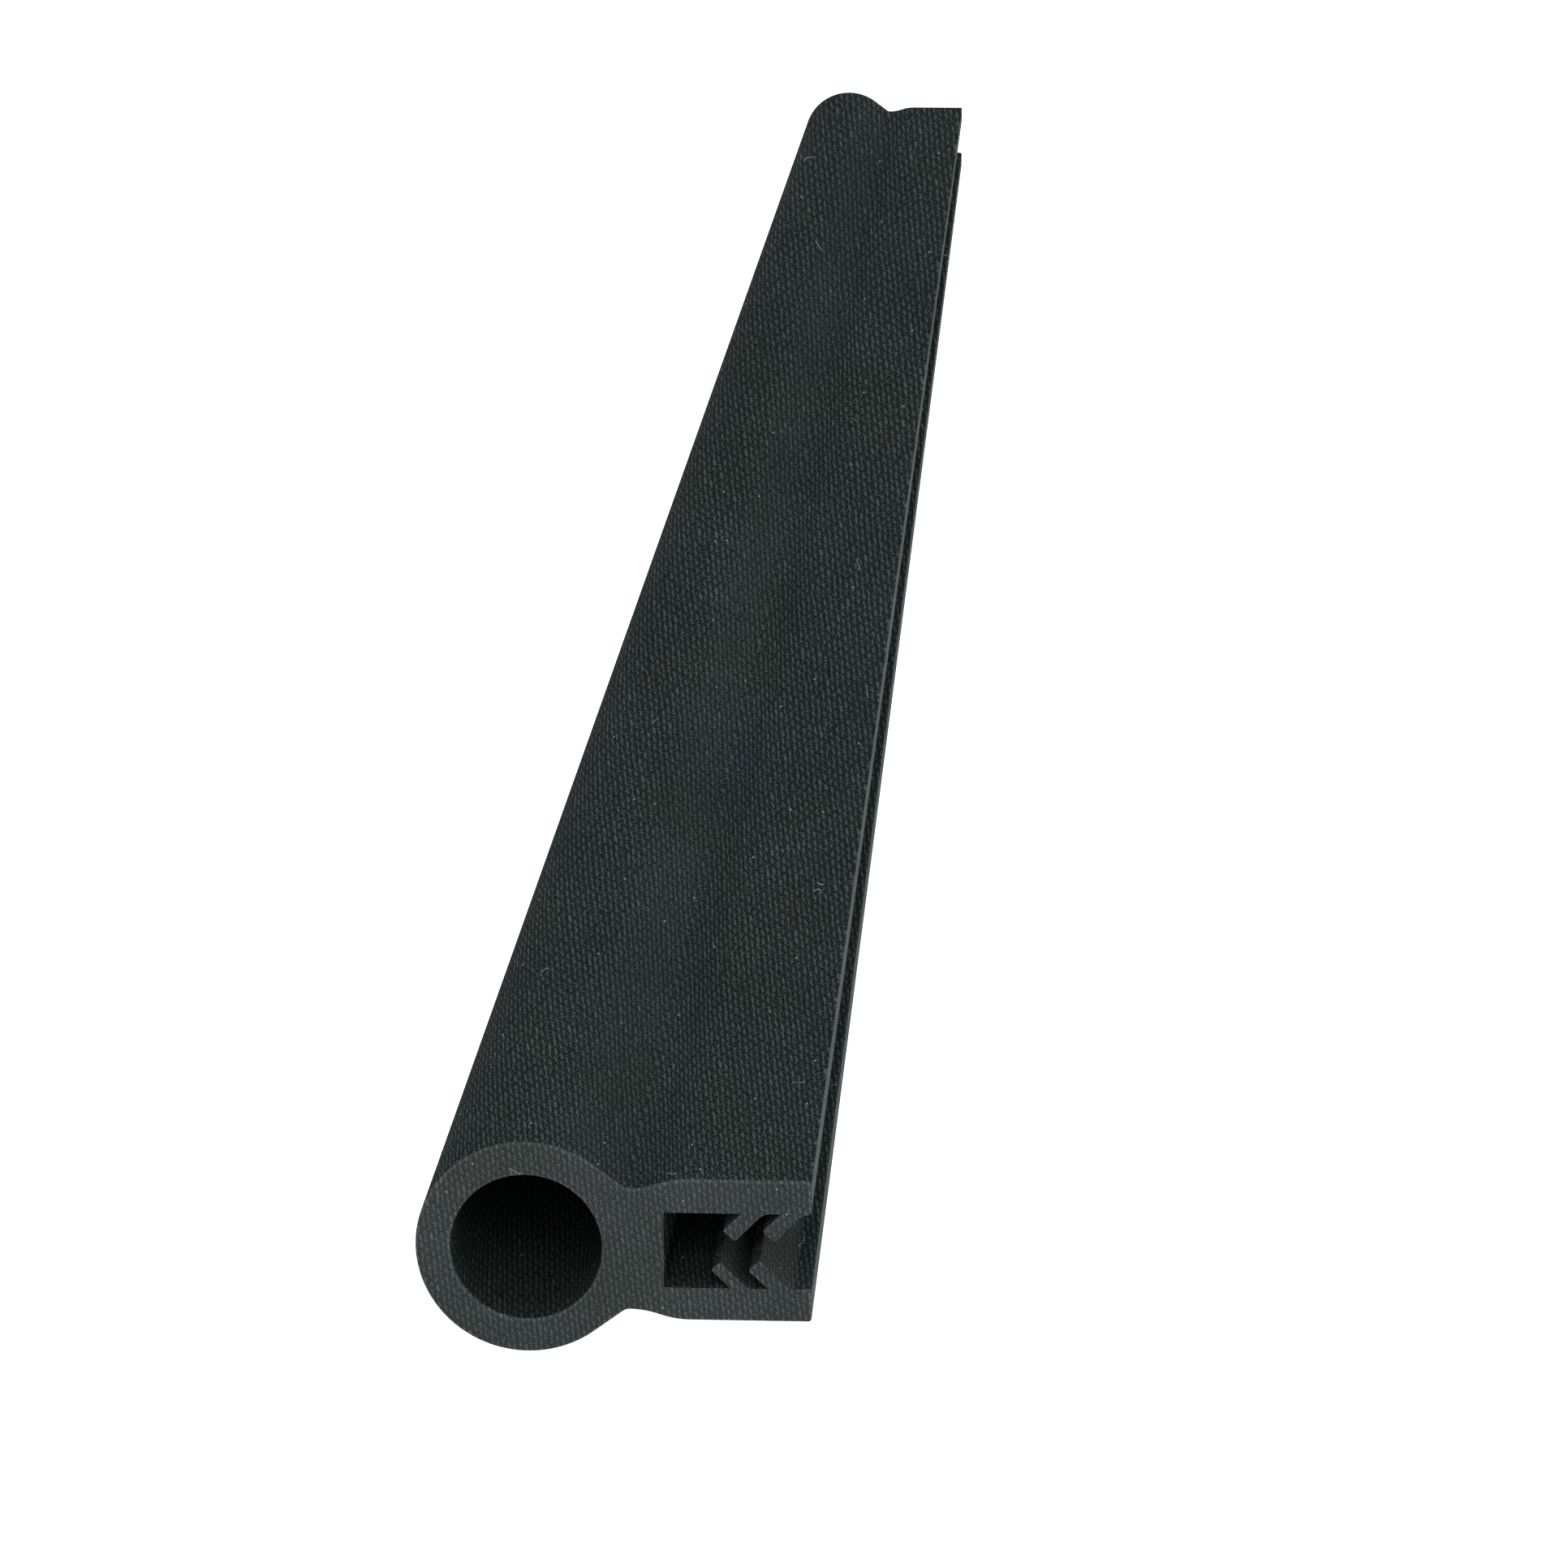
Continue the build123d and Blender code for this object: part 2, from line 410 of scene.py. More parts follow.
def skin_lattice(tree):
    """Column and row of the cloth's marks on the skin."""
    place = node(tree, "SeparateXYZ", {0: node(tree, "TexCoord").outputs["Object"]})
    girth = node(tree, "Attribute", attribute_name="girth").outputs["Fac"]
    growth = node(
        tree, "MapRange", {0: place.outputs["Y"], 1: NEAR_Y, 2: FAR_Y, 3: 1.0, 4: GROWTH}
    ).outputs[0]
    column = node(tree, "Math", {0: girth, 1: FAN_PLACE}, operation="SUBTRACT").outputs[0]
    column = node(tree, "Math", {0: column, 1: 1 / THREAD_PITCH}, operation="MULTIPLY").outputs[0]
    column = node(tree, "Math", {0: column, 1: growth}, operation="DIVIDE").outputs[0]
    # A row's number is the sum of 1 / length along the seal, where a mark's length grows as growth squared.
    # Up the flanks and walls the rows climb as they do on the near cut end, so that they meet there.
    rows = LENGTH / (GROWTH - 1) / MARK_LENGTH
    row = node(
        tree, "Math", {0: place.outputs["Z"], 1: 1 / CUT_MARK_LENGTH, 2: -rows},
        operation="MULTIPLY_ADD",
    ).outputs[0]
    row = node(tree, "Math", {0: row, 1: growth}, operation="DIVIDE").outputs[0]
    return column, row


def cut_lattice(tree):
    """Column and row of the cloth's marks on a cut end."""
    place = node(tree, "SeparateXYZ", {0: node(tree, "TexCoord").outputs["Object"]})
    x, z = place.outputs["X"], place.outputs["Z"]
    column = node(tree, "Math", {0: x, 1: 1 / THREAD_PITCH}, operation="MULTIPLY").outputs[0]
    row = node(tree, "Math", {0: z, 1: 1 / CUT_MARK_LENGTH}, operation="MULTIPLY").outputs[0]
    return column, row


def skin_depth(tree):
    """How deeply the skin is marked: less where the wrapping bridged a hollow or was stretched."""
    place = node(tree, "SeparateXYZ", {0: node(tree, "TexCoord").outputs["Object"]})
    away = node(tree, "Math", {0: place.outputs["X"], 1: FLANK_X}, operation="SUBTRACT").outputs[0]
    away = node(tree, "Math", {0: away}, operation="ABSOLUTE").outputs[0]
    # Shallower marks on the flanks also lighten them a little: painted light beside the neck.
    flanks = node(
        tree, "MapRange", {0: away, 1: FLANK_REACH, 2: PAST_FLANK, 3: FLANK_DEPTH, 4: 1.0},
        interpolation_type="SMOOTHSTEP",
    ).outputs[0]
    # The stretch sets in half way along.
    stretch = node(
        tree, "MapRange", {0: place.outputs["Y"], 1: 0.0, 2: FAR_Y, 3: 1.0, 4: FAR_DEPTH}
    ).outputs[0]
    return node(tree, "Math", {0: flanks, 1: stretch}, operation="MULTIPLY").outputs[0]


def even_depth(_):
    """Marks as deep everywhere."""
    return 1.0


def cells(tree, column, row, wide, high):
    """A place on the lattice, counted in cells so many columns wide and so many rows high."""
    return node(tree, "CombineXYZ", {
        0: node(tree, "Math", {0: column, 1: 1 / wide}, operation="MULTIPLY").outputs[0],
        1: node(tree, "Math", {0: row, 1: 1 / high}, operation="MULTIPLY").outputs[0],
    }).outputs[0]


def cloth_marks(tree, column, row):
    """Height of the marks: upright dashes in columns, each of its own strength."""
    leaning = node(tree, "Math", {0: row, 1: MARK_LEAN, 2: column}, operation="MULTIPLY_ADD")
    shifted = node(tree, "Math", {0: column, 1: MARK_SHIFT, 2: row}, operation="MULTIPLY_ADD")
    lattice = node(tree, "CombineXYZ", {0: leaning.outputs[0], 1: shifted.outputs[0]}).outputs[0]
    # The threads wander by up to 0.4 of a mark, over stretches of some seven marks.
    wander = node(
        tree, "TexNoise", {"Vector": lattice, "Scale": 0.15, "Detail": 2.0}, noise_dimensions="2D"
    ).outputs["Color"]
    lattice = node(
        tree, "VectorMath", {0: wander, 1: (0.4, 0.4, 0), 2: lattice}, operation="MULTIPLY_ADD"
    ).outputs[0]
    marks = node(
        tree, "TexVoronoi", {"Vector": lattice, "Scale": 1.0, "Randomness": 0.2},
        voronoi_dimensions="2D",
    )
    offset = node(
        tree, "VectorMath", {0: lattice, 1: marks.outputs["Position"]}, operation="SUBTRACT"
    ).outputs[0]
    offset = node(tree, "VectorMath", {0: offset, 1: MARK_SQUEEZE}, operation="MULTIPLY").outputs[0]
    distance = node(tree, "VectorMath", {0: offset}, operation="LENGTH").outputs["Value"]
    shape = node(
        tree, "MapRange", {0: distance, 1: 0.65, 2: 0.1, 3: 0.0, 4: 1.0},
        interpolation_type="SMOOTHSTEP",
    ).outputs[0]
    chance = node(tree, "SeparateColor", {0: marks.outputs["Color"]}).outputs[0]
    # Marks differ in strength, and one in twenty stands out.
    strength = node(tree, "MapRange", {0: chance, 1: 0.0, 2: 1.0, 3: 0.6, 4: 1.0}).outputs[0]
    bright = node(tree, "MapRange", {0: chance, 1: 0.95, 2: 1.0, 3: 0.0, 4: 0.8}).outputs[0]
    strength = node(tree, "Math", {0: strength, 1: bright}, operation="ADD").outputs[0]
    return node(tree, "Math", {0: shape, 1: strength}, operation="MULTIPLY").outputs[0]


def lint_and_dust(tree, column, row):
    """Where a short curled fibre or a speck of talc lies on the rubber."""
    # One fibre in each 30 columns by 20 rows, along a line where a noise passes through its mean
    field = cells(tree, column, row, 30.0, 20.0)
    fibres = node(tree, "TexVoronoi", {"Vector": field, "Scale": 1.0}, voronoi_dimensions="2D")
    near = node(
        tree, "MapRange", {0: fibres.outputs["Distance"], 1: 0.045, 2: 0.035, 3: 0.0, 4: 1.0}
    ).outputs[0]
    curl = node(tree, "TexNoise", {"Vector": field, "Scale": 8.0, "Detail": 0.0}, noise_dimensions="2D")
    off_line = node(tree, "Math", {0: curl.outputs["Fac"], 1: 0.5}, operation="SUBTRACT").outputs[0]
    off_line = node(tree, "Math", {0: off_line}, operation="ABSOLUTE").outputs[0]
    fibre = node(tree, "MapRange", {0: off_line, 1: 0.012, 2: 0.005, 3: 0.0, 4: 1.0}).outputs[0]
    fibre = node(tree, "Math", {0: near, 1: fibre}, operation="MULTIPLY").outputs[0]
    # Specks are a third of a column across, with one in each 15 columns by 10 rows.
    specks = node(tree, "TexVoronoi", {"Vector": field, "Scale": 2.0}, voronoi_dimensions="2D")
    speck = node(
        tree, "MapRange", {0: specks.outputs["Distance"], 1: 0.015, 2: 0.005, 3: 0.0, 4: 1.0}
    ).outputs[0]
    return node(tree, "Math", {0: fibre, 1: speck}, operation="MAXIMUM").outputs[0]


def pressed_rubber(name, low, high, colours, lattice, depth):
    """EPDM rubber cured in a wrapping of cotton cloth, which leaves its weave pressed into a matt skin.

    Lattice is a function that gives the column and row of the cloth's marks, and depth one that gives
    their depth.
    """
    if name in bpy.data.materials:
        return bpy.data.materials[name]
    material, tree, output = new_material(name)
    column, row = lattice(tree)
    # Fine grit, a third of a column wide, which roughens marks and ground alike
    grit = node(
        tree, "TexNoise", {"Vector": cells(tree, column, row, 0.35, 0.2), "Scale": 1.0, "Detail": 1.0},
        noise_dimensions="2D",
    ).outputs["Fac"]
    grit = node(tree, "MapRange", {0: grit, 1: 0.3, 2: 0.7, 3: -0.5, 4: 0.5}).outputs[0]
    height = cloth_marks(tree, column, row)
    height = node(tree, "Math", {0: height, 1: grit}, operation="ADD").outputs[0]
    # Where the cloth presses less, marks and ground both come nearer to the middle height.
    height = node(tree, "Mix", {0: depth(tree), 2: MIDDLE_HEIGHT, 3: height}).outputs[0]
    colour = node(
        tree, "Mix", {0: height, MIX_A: linear(low), MIX_B: linear(high)}, data_type="RGBA"
    ).outputs[MIX_RESULT]
    # Clouds about 18 columns wide and 11 rows high, up to 15 % redder or bluer and 8 % lighter or darker
    clouds = node(
        tree, "TexNoise", {"Vector": cells(tree, column, row, 18.0, 11.0), "Scale": 1.0, "Detail": 2.0},
        noise_dimensions="2D",
    ).outputs["Color"]
    tint = node(
        tree, "VectorMath", {0: clouds, 1: (0.3, 0, 0.3), 2: (0.85, 1, 0.85)}, operation="MULTIPLY_ADD"
    ).outputs[0]
    light = node(tree, "SeparateColor", {0: clouds}).outputs[1]
    light = node(tree, "MapRange", {0: light, 1: 0.3, 2: 0.7, 3: 0.92, 4: 1.08}).outputs[0]
    tint = node(tree, "VectorMath", {0: tint, "Scale": light}, operation="SCALE").outputs[0]
    colour = node(
        tree, "Mix", {0: 1.0, MIX_A: colour, MIX_B: tint}, data_type="RGBA", blend_type="MULTIPLY"
    ).outputs[MIX_RESULT]
    litter = lint_and_dust(tree, column, row)
    colour = node(
        tree, "Mix", {0: litter, MIX_A: colour, MIX_B: linear(colours.dust)}, data_type="RGBA"
    ).outputs[MIX_RESULT]
    # Marks stand 0.05 mm proud, and rub a little smoother than the ground between them.
    bump = node(tree, "Bump", {"Strength": 0.35, "Distance": 0.05 * MM, "Height": height})
    roughness = node(tree, "MapRange", {0: height, 1: 0.0, 2: 1.0, 3: 1.0, 4: 0.8}).outputs[0]
    shader = node(
        tree, "BsdfPrincipled",
        {
            "Base Color": colour, "Roughness": roughness, "Specular IOR Level": 0.005,
            "Normal": bump.outputs["Normal"],
        },
    )
    tree.links.new(shader.outputs[0], output.inputs["Surface"])
    return material


def outer_rubber(colours):
    """EPDM rubber, cloth-wrapped cure: the outer skin, matt and slightly dusty."""
    return pressed_rubber(
        "EPDM rubber, cloth-cured skin", colours.skin_low, colours.skin_high, colours,
        skin_lattice, skin_depth,
    )


def shaded_inner_rubber(colours):
    """EPDM rubber, cloth-wrapped cure: the skin inside bore and slot, darker than the outer skin as painted shade
    in those hollows.
    """
    return pressed_rubber(
        "EPDM rubber, inner skin with painted shade", colours.inner_shade_low, colours.inner_shade_high, colours,
        skin_lattice, even_depth,
    )


def lit_fin_rubber(colours):
    """EPDM rubber, cloth-wrapped cure: the fins' skin, painted paler than the inside skin as painted light against
    the slot's shade.
    """
    return pressed_rubber(
        "EPDM rubber, fin skin with painted light", colours.fin_low, colours.fin_high, colours,
        skin_lattice, even_depth,
    )


def cut_rubber(colours):
    """EPDM rubber, knife-cut: paler than the skin, partly as a fresh cut is and partly as painted light of an end
    lit from the front.
    """
    return pressed_rubber(
        "EPDM rubber, knife-cut face", colours.cut_low, colours.cut_high, colours,
        cut_lattice, even_depth,
    )


def edge_highlight_rubber(colours):
    """EPDM rubber, knife-cut: edges of the cut ends, painted a little paler still as a painted highlight."""
    return pressed_rubber(
        "EPDM rubber, cut edge with painted highlight", colours.edge_highlight_low, colours.edge_highlight_high, colours,
        cut_lattice, even_depth,
    )


def lit_leg_end_rubber(colours):
    """EPDM rubber, cloth-wrapped cure: the legs' ends, painted pale as painted light on faces lit from the mouth's
    side.
    """
    return pressed_rubber(
        "EPDM rubber, leg end with painted light", colours.leg_end_light_low, colours.leg_end_light_high, colours,
        skin_lattice, even_depth,
    )


def rib_steel(colours):
    """Spring steel, cold-rolled and phosphated: dull grey crystals over fine lines along the strip."""
    material, tree, output = new_material("Spring steel, cold-rolled and phosphated")
    place = node(tree, "TexCoord").outputs["Object"]
    # Phosphate crystals 0.12 mm across
    crystals = node(tree, "TexVoronoi", {"Vector": place, "Scale": 1 / (0.12 * MM)})
    crystal = node(tree, "SeparateColor", {0: crystals.outputs["Color"]}).outputs[0]
    # Rolling lines 0.08 mm apart across the strip's width; the wave texture has 20 bands for a scale of 1.
    lines = node(
        tree, "TexWave", {"Vector": place, "Scale": 1 / (0.08 * MM) / 20, "Distortion": 1.5},
        bands_direction="Y",
    )
    height = node(tree, "Math", {0: crystal, 1: lines.outputs["Fac"]}, operation="MULTIPLY").outputs[0]
    dark = tuple(0.55 * share for share in linear(colours.steel)[:3]) + (1.0,)
    colour = node(
        tree, "Mix", {0: height, MIX_A: dark, MIX_B: linear(colours.steel)}, data_type="RGBA"
    ).outputs[MIX_RESULT]
    roughness = node(tree, "MapRange", {0: crystal, 1: 0.0, 2: 1.0, 3: 0.62, 4: 0.4}).outputs[0]
    bump = node(tree, "Bump", {"Strength": 0.2, "Distance": 0.01 * MM, "Height": height})
    shader = node(
        tree, "BsdfPrincipled",
        {
            "Base Color": colour, "Roughness": roughness, "Metallic": 1.0,
            "Normal": bump.outputs["Normal"],
        },
    )
    tree.links.new(shader.outputs[0], output.inputs["Surface"])
    return material


def cord_yarn(colours, cord_x):
    """Glass yarn, twisted and dipped in latex: black, faintly shiny ridges that wind round the cord."""
    material, tree, output = new_material("Glass yarn, twisted and latex-dipped")
    place = node(tree, "TexCoord").outputs["Object"]
    parts = node(tree, "SeparateXYZ", {0: place})
    x = node(tree, "Math", {0: parts.outputs["X"], 1: cord_x}, operation="SUBTRACT").outputs[0]
    angle = node(tree, "Math", {0: parts.outputs["Z"], 1: x}, operation="ARCTAN2").outputs[0]
    # Three plies, each of which goes once round in 2.5 mm
    winding = node(
        tree, "Math", {0: parts.outputs["Y"], 1: 2 * pi / (2.5 * MM), 2: angle},
        operation="MULTIPLY_ADD",
    ).outputs[0]
    plies = node(tree, "Math", {0: winding, 1: 3.0}, operation="MULTIPLY").outputs[0]
    ridge = node(tree, "Math", {0: plies}, operation="SINE").outputs[0]
    ridge = node(tree, "MapRange", {0: ridge, 1: -1.0, 2: 1.0, 3: 0.0, 4: 1.0}).outputs[0]
    dark = tuple(0.4 * share for share in linear(colours.latex)[:3]) + (1.0,)
    colour = node(
        tree, "Mix", {0: ridge, MIX_A: dark, MIX_B: linear(colours.latex)}, data_type="RGBA"
    ).outputs[MIX_RESULT]
    bump = node(tree, "Bump", {"Strength": 0.6, "Distance": 0.05 * MM, "Height": ridge})
    shader = node(
        tree, "BsdfPrincipled",
        {"Base Color": colour, "Roughness": 0.45, "Normal": bump.outputs["Normal"]},
    )
    tree.links.new(shader.outputs[0], output.inputs["Surface"])
    return material


# ---------------------------------------------------------------- pieces


def bulb_girth(co):
    """Place round the bulb, which runs on from the channel's at the top of the neck."""
    neck_z = bpy.context.scene.seal_sizes.neck_height / 2
    angle = atan2(co.z, BULB_X - co.x)
    if in_bore(co):
        return BORE_RADIUS * abs(angle)
    return NECK_X + neck_z + BULB_RADIUS * (angle - atan2(neck_z, BULB_X - NECK_X))


def in_bore(co):
    """Whether a point lies nearer to the bore than to the bulb's outside."""
    return hypot(co.x - BULB_X, co.z) < (BORE_RADIUS + BULB_RADIUS) / 2


def at_neck(co):
    """Whether a point lies where bulb and channel are bonded."""
    return abs(co.x - NECK_X) < ON_PLACE


class EDGESEAL_OT_bulb(bpy.types.Operator):
    """Models the hollow round bulb, whose flanks run down to the neck"""

    bl_idname = "edge_seal.bulb"
    bl_label = "Bulb"

    def execute(self, context):
        sizes = context.scene.seal_sizes
        neck_z, radius = sizes.neck_height / 2, sizes.valley_radius
        across, up = NECK_X - BULB_X, neck_z + radius
        # The flank is tangent to the bulb's outside and to the valley, whose arc leaves the neck level.
        lean = atan2(up, across) + acos((BULB_RADIUS + radius) / hypot(across, up))
        pen = Pen("bulb_skin", NECK_X, 0)
        pen.line(NECK_X, neck_z)
        pen.arc(NECK_X, up, lean - pi / 2, CURVE_STEPS)
        pen.line(BULB_X + BULB_RADIUS * cos(lean), BULB_RADIUS * sin(lean))
        pen.arc(BULB_X, 0, pi - lean, sizes.round_steps)
        pen.line(BULB_X - BORE_RADIUS, 0)
        pen.arc(BULB_X, 0, -pi, sizes.round_steps)
        bulb = pen.fill()
        bpy.ops.object.mode_set(mode="OBJECT")
        mirror = bulb.modifiers.new("lower half", "MIRROR")
        mirror.use_axis = (False, False, True)
        mirror.merge_threshold = ON_PLACE
        bpy.ops.object.modifier_apply(modifier=mirror.name)
        bpy.ops.object.mode_set(mode="EDIT")
        pull(sizes.stations)
        wear_cut_edges(bulb, sizes.cut_edge, at_neck)
        finish_piece(bulb, bulb_girth, in_bore, shaded_inner_rubber)
        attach(bulb, "seal_body")
        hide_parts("bulb")
        return {"FINISHED"}


def fin_outline(name, sizes):
    """Corners of a fin's section: its root, its tip's two, its root on the mouth side, its fillet's foot."""
    root = ROOTS[name]
    side = 1 if root.z > 0 else -1
    thickness = sizes.thin_fin if name == "lower_inner_fin" else sizes.fin_thickness
    down = Vector((-sqrt(0.5), -side * sqrt(0.5)))
    out = Vector((sqrt(0.5), -side * sqrt(0.5)))
    start = Vector((root.x, root.z))
    tips = [start + down * sizes.fin_face, start + down * sizes.fin_face + out * thickness]
    mouth_root = start + Vector((thickness * sqrt(2), 0))
    foot = mouth_root + Vector((sizes.root_fillet, 0))
    return start, tips, mouth_root, foot


def channel_girth(co):
    """Place round the channel: it grows towards the mouth, and out along every wall."""
    return co.x + abs(co.z)


def in_slot(co):
    """Whether a face lies in the slot, on the closed side of the outer fins."""
    return abs(co.z) < SLOT_Z + ON_PLACE and co.x < LIP_X


class EDGESEAL_OT_channel(bpy.types.Operator):
    """Models the channel with its swelling shoulders, its slot and the places of the fins' roots"""

    bl_idname = "edge_seal.channel"
    bl_label = "Channel"

    def execute(self, context):
        sizes = context.scene.seal_sizes
        neck_z, run = sizes.neck_height / 2, sizes.shoulder_length / 2
        rise = (LEG_Z - neck_z) / 2
        radius = (run**2 + rise**2) / (2 * rise)
        sweep = 2 * atan2(rise, run)
        shoulder_x = NECK_X + sizes.shoulder_length
        roots = {name: fin_outline(name, sizes) for name in ROOTS}
        upper = sorted([n for n in ROOTS if ROOTS[n].z > 0], key=lambda n: -ROOTS[n].x)
        lower = sorted([n for n in ROOTS if ROOTS[n].z < 0], key=lambda n: ROOTS[n].x)
        pen = Pen("channel_skin", NECK_X, neck_z)
        pen.arc(NECK_X, neck_z + radius, sweep, CURVE_STEPS)
        pen.arc(shoulder_x, LEG_Z - radius, -sweep, CURVE_STEPS)
        pen.line(MOUTH_X, LEG_Z)
        pen.line(MOUTH_X, SLOT_Z)
        for name in upper:
            start, _, _, foot = roots[name]
            pen.line(*foot)
            pen.line(*start)
        pen.line(SLOT_BACK_X, SLOT_Z)
        pen.line(SLOT_BACK_X, -SLOT_Z)
        for name in lower:
            start, _, _, foot = roots[name]
            pen.line(*start)
            pen.line(*foot)
        pen.line(MOUTH_X, -SLOT_Z)
        pen.line(MOUTH_X, -LEG_Z)
        pen.line(shoulder_x, -LEG_Z)
        pen.arc(shoulder_x, radius - LEG_Z, -sweep, CURVE_STEPS)
        pen.arc(NECK_X, -neck_z - radius, sweep, CURVE_STEPS)
        channel = pen.fill()
        mouth = [(MOUTH_X, z) for z in (LEG_Z, SLOT_Z, -SLOT_Z, -LEG_Z)]
        round_corners(channel, mouth, sizes.mouth_edge)
        pull(sizes.stations)

        def bonded(co):
            """At the neck, or on the slot's edges, which stay sharp and run on into the fins."""
            return at_neck(co) or abs(abs(co.z) - SLOT_Z) < ON_PLACE

        wear_cut_edges(channel, sizes.cut_edge, bonded)
        finish_piece(channel, channel_girth, in_slot, shaded_inner_rubber)
        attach(channel, "seal_body")
        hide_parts("channel_back", "upper_leg", "lower_leg")
        return {"FINISHED"}


class EDGESEAL_OT_fins(bpy.types.Operator):
    """Models the four grip fins, each of which runs on from its leg, with bands of faces across its root"""

    bl_idname = "edge_seal.fins"
    bl_label = "Grip fins"

    def execute(self, context):
        sizes = context.scene.seal_sizes
        for name in ROOTS:
            start, tips, mouth_root, foot = fin_outline(name, sizes)
            side = 1 if start.y > 0 else -1
            # The fillet is tangent to the leg at its foot and to the fin's mouth side as far down it.
            heel = mouth_root + (tips[1] - mouth_root).normalized() * sizes.root_fillet
            reach = sizes.root_fillet * (1 + sqrt(2))  # radius of a fillet in a corner of 135 degrees
            pen = Pen(name + "_lip", *start)
            for tip in tips:
                pen.line(*tip)
            pen.line(*heel)
            pen.arc(foot.x, foot.y - side * reach, side * -pi / 4, FILLET_STEPS)
            lip = pen.fill()
            round_corners(lip, [tuple(tip) for tip in tips], sizes.fin_edge)
            pull(sizes.stations)
            for step in range(1, BEND_STEPS + 1):
                height = start.y - side * sizes.bend_depth * step / BEND_STEPS
                bpy.ops.mesh.select_all(action="SELECT")
                bpy.ops.mesh.bisect(plane_co=(0, 0, height), plane_no=(0, 0, 1))
            through = (tips[1] - tips[0]).normalized()

            def bonded(co):
                """On the leg, or on the mouth side, whose edge stays sharp and runs out on the leg."""
                out = (Vector((co.x, co.z)) - tips[1]).dot(through)
                return abs(co.z - start.y) < ON_PLACE or out > -ON_PLACE

            wear_cut_edges(lip, sizes.fin_edge, bonded)
            finish_piece(lip, channel_girth, lambda co: True, lit_fin_rubber)
            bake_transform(lip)
            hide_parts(name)
        return {"FINISHED"}


class EDGESEAL_OT_carrier(bpy.types.Operator):
    """Gives the steel ribs and the glass cord inside the channel their finishes"""

    bl_idname = "edge_seal.carrier"
    bl_label = "Carrier"

    def execute(self, context):
        colours = context.scene.seal_colours
        cord_low, cord_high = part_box("fibreglass_cord")
        finishes = {
            "steel_ribs": rib_steel(colours),
            "fibreglass_cord": cord_yarn(colours, (cord_low.x + cord_high.x) / 2),
        }
        for name, finish in finishes.items():
            slots = frame["nodes"][name].data.materials
            slots.clear()
            slots.append(finish)
        return {"FINISHED"}


def seen_directly(tree):
    """1 for what the camera, a reflection or a see-through piece shows, and 0 for what gives light."""
    path = node(tree, "LightPath")
    seen = path.outputs["Is Camera Ray"]
    for kind in ("Is Glossy Ray", "Is Transmission Ray"):
        seen = node(tree, "Math", {0: seen, 1: path.outputs[kind]}, operation="MAXIMUM").outputs[0]
    return seen


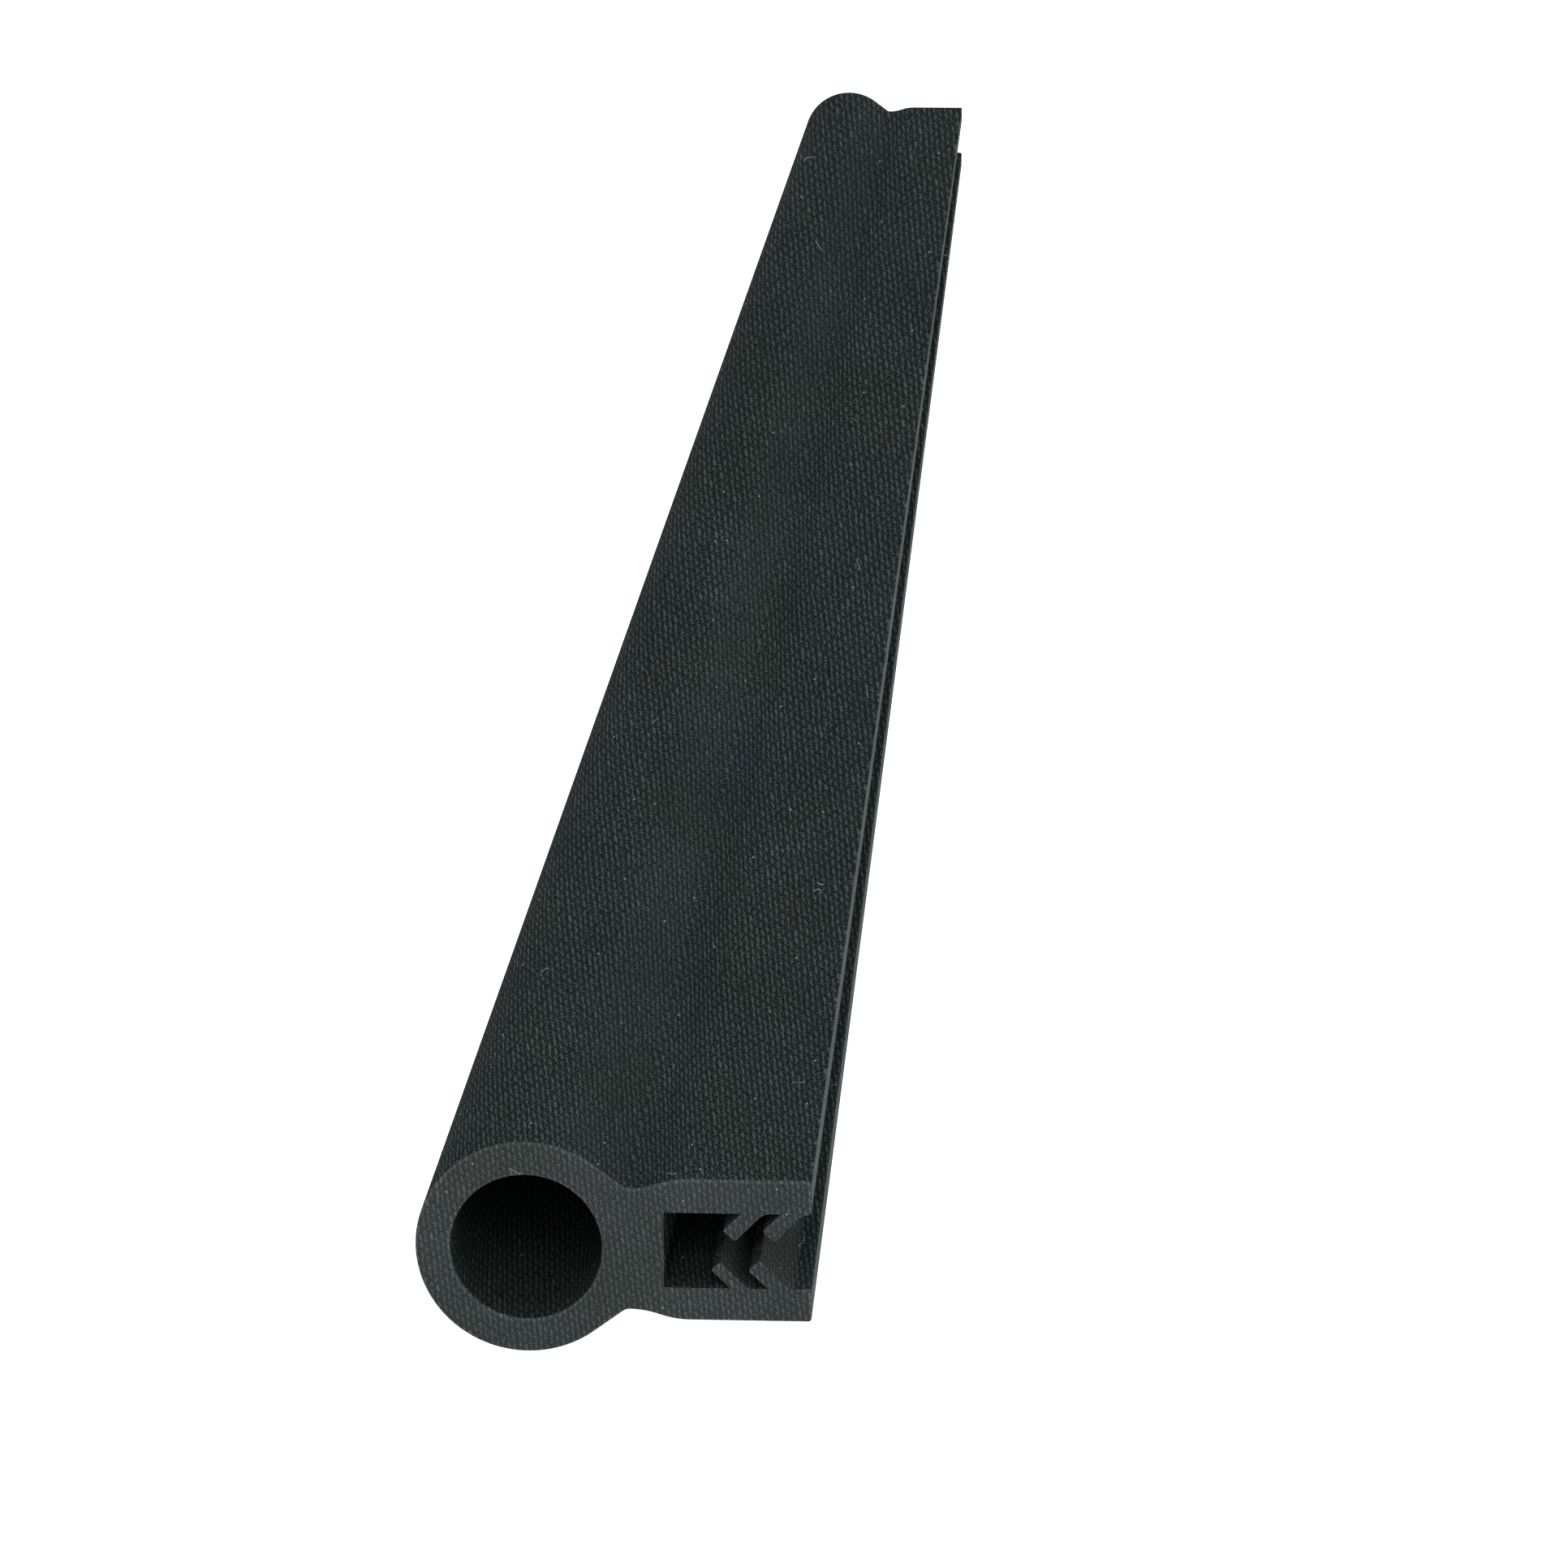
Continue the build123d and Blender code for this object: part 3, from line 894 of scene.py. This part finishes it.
class EDGESEAL_OT_stage(bpy.types.Operator):
    """Sets up the floor, the lamps, the dome and the camera"""

    bl_idname = "edge_seal.stage"
    bl_label = "Stage"

    def execute(self, context):
        scene, settings = context.scene, context.scene.seal_stage
        self.add_floor(settings.floor_glow, scene.seal_colours.floor)
        self.add_dome(settings.world_light)
        self.add_lamp("front_lamp", settings.front_light, settings.front_place, settings.lamp_size)
        self.add_lamp("side_lamp", settings.side_light, settings.side_place, settings.lamp_size)
        bpy.ops.object.camera_add(location=settings.camera_place, rotation=settings.camera_turn)
        camera = context.object
        camera.name = "front_camera"
        camera.data.sensor_width = 36.0
        camera.data.lens = settings.camera_lens
        camera.data.clip_start = 0.01
        scene.camera = camera
        scene.view_settings.view_transform = "Standard"
        return {"FINISHED"}

    def add_floor(self, glow_strength, colour):
        """A floor at the bulb's lowest line, which looks plain white and lights the seal from below."""
        bpy.ops.object.select_all(action="DESELECT")
        # 12 m across, so that the camera sees floor as far as it looks down
        bpy.ops.mesh.primitive_plane_add(size=12.0, location=(0, 0, cad_bounds[0].z))
        floor = bpy.context.object
        floor.name = "studio_floor"
        material, tree, output = new_material("Painted studio floor")
        diffuse = node(tree, "BsdfDiffuse", {"Color": linear(colour)})
        seen = seen_directly(tree)
        strength = node(tree, "Math", {0: seen, 1: glow_strength}, operation="MULTIPLY").outputs[0]
        glow = node(tree, "Emission", {"Color": (1, 1, 1, 1), "Strength": strength})
        both = node(tree, "AddShader", {0: diffuse.outputs[0], 1: glow.outputs[0]})
        tree.links.new(both.outputs[0], output.inputs["Surface"])
        floor.data.materials.append(material)

    def add_dome(self, light):
        """Even light from all round, which looks white wherever it is seen."""
        world = bpy.data.worlds.new("Studio dome")
        bpy.context.scene.world = world
        world.use_nodes = True
        tree = world.node_tree
        tree.nodes.clear()
        seen = seen_directly(tree)
        strength = node(tree, "MapRange", {0: seen, 1: 0.0, 2: 1.0, 3: light, 4: 1.0}).outputs[0]
        dome = node(tree, "Background", {"Color": (1, 1, 1, 1), "Strength": strength})
        output = node(tree, "OutputWorld")
        tree.links.new(dome.outputs[0], output.inputs["Surface"])

    def add_lamp(self, name, share, place, size):
        """A square soft lamp that looks at the seal; its share of full light sets its power."""
        place = Vector(place)
        bpy.ops.object.light_add(type="AREA", location=place)
        lamp = bpy.context.object
        lamp.name = name
        lamp.rotation_euler = (-place).to_track_quat("-Z", "Y").to_euler()
        lamp.data.size = size
        # A lamp of P watts gives P / (pi d)^2 of full light at a distance of d metres.
        lamp.data.energy = share * (pi * place.length) ** 2


class EDGESEAL_PT_panel(bpy.types.Panel):
    """Lists the seal's pieces and its stage"""

    bl_idname = "EDGESEAL_PT_panel"
    bl_label = "Edge Seal"
    bl_space_type = "VIEW_3D"
    bl_region_type = "UI"
    bl_category = "Edge Seal"

    def draw(self, context):
        for operator in OPERATORS:
            self.layout.operator(operator.bl_idname)


OPERATORS = (
    EDGESEAL_OT_bulb, EDGESEAL_OT_channel, EDGESEAL_OT_fins, EDGESEAL_OT_carrier, EDGESEAL_OT_stage,
)
GROUPS = {"seal_sizes": SealSizes, "seal_colours": SealColours, "seal_stage": SealStage}


def register():
    for group in GROUPS.values():
        bpy.utils.register_class(group)
    for name, group in GROUPS.items():
        setattr(bpy.types.Scene, name, bpy.props.PointerProperty(type=group))
    for shown in (*OPERATORS, EDGESEAL_PT_panel):
        bpy.utils.register_class(shown)


def unregister():
    for shown in (EDGESEAL_PT_panel, *OPERATORS):
        bpy.utils.unregister_class(shown)
    for name, group in GROUPS.items():
        delattr(bpy.types.Scene, name)
        bpy.utils.unregister_class(group)


def main():
    register()
    bpy.ops.edge_seal.bulb()
    bpy.ops.edge_seal.channel()
    bpy.ops.edge_seal.fins()
    bpy.ops.edge_seal.carrier()
    bpy.ops.edge_seal.stage()


if __name__ == "__main__":
    main()
